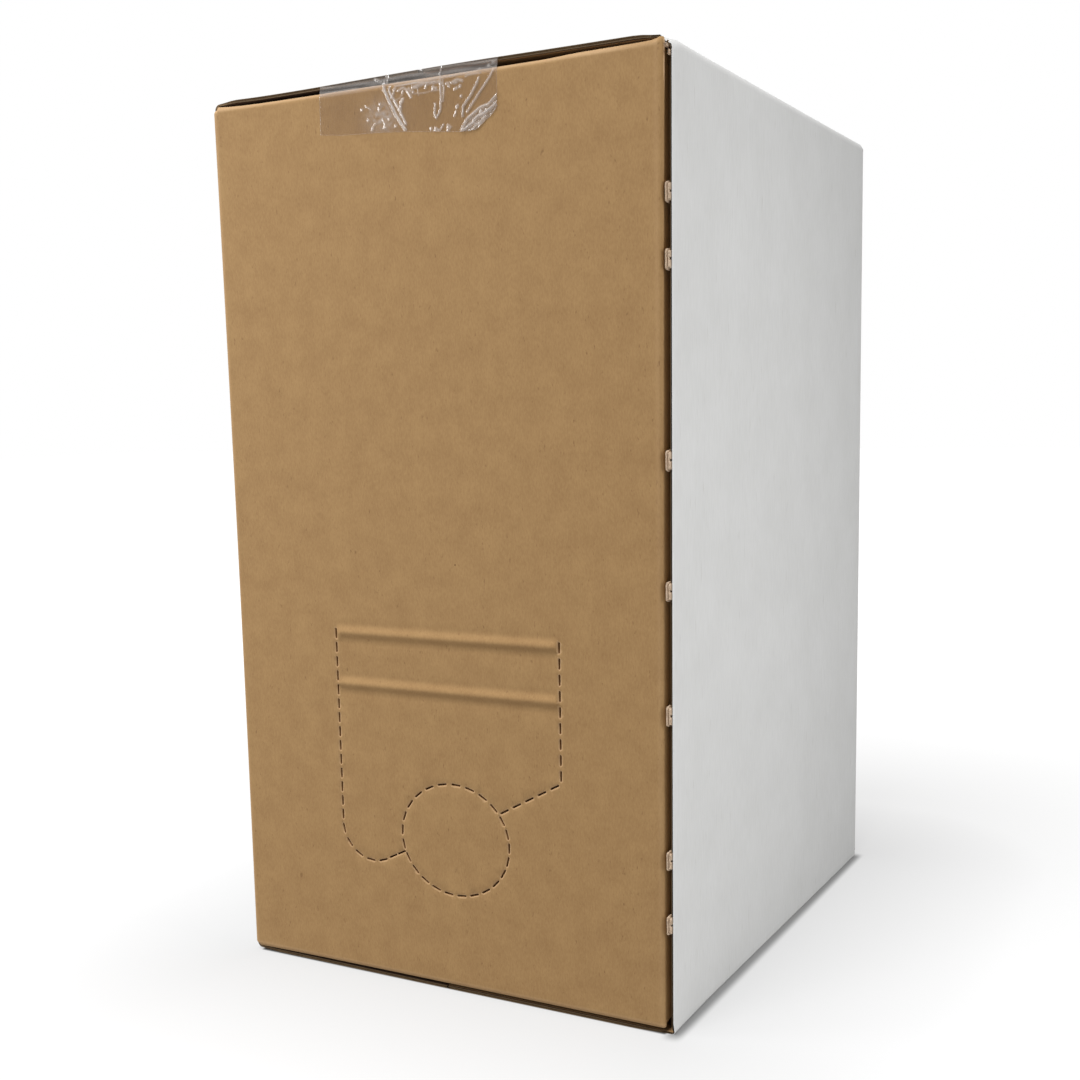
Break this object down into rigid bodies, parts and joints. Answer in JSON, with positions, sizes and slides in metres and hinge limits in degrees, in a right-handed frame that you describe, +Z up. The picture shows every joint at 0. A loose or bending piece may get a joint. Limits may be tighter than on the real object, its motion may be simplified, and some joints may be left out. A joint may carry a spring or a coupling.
{
  "type": "bag-in-box",
  "caption": "Tall corrugated carton, taped shut along its top seam, with a perforated tap door in its narrow front, holding a filled film bag with a push tap.",
  "frame": {"origin": "middle of the carton's footprint, on the surface it stands on", "axes": "+Z up along the upright folds, -Y out of the narrow front panel with the tap door, +X out of the right side wall"},
  "size_m": [0.12, 0.1447, 0.2151],
  "materials": {
    "corrugated_board": "matte",
    "clear_tape": "gloss",
    "bag_film": "gloss",
    "spout_plastic": "satin",
    "tap_plastic": "satin",
    "button_rubber": "satin"
  },
  "bodies": {
    "root": {"carton": "corrugated_board", "sealing_tape": "clear_tape", "filled_bag": "bag_film", "spout_gland": "spout_plastic", "tap_body": "tap_plastic", "valve_stem": "spout_plastic", "push_button": "button_rubber"}
  },
  "joints": []
}
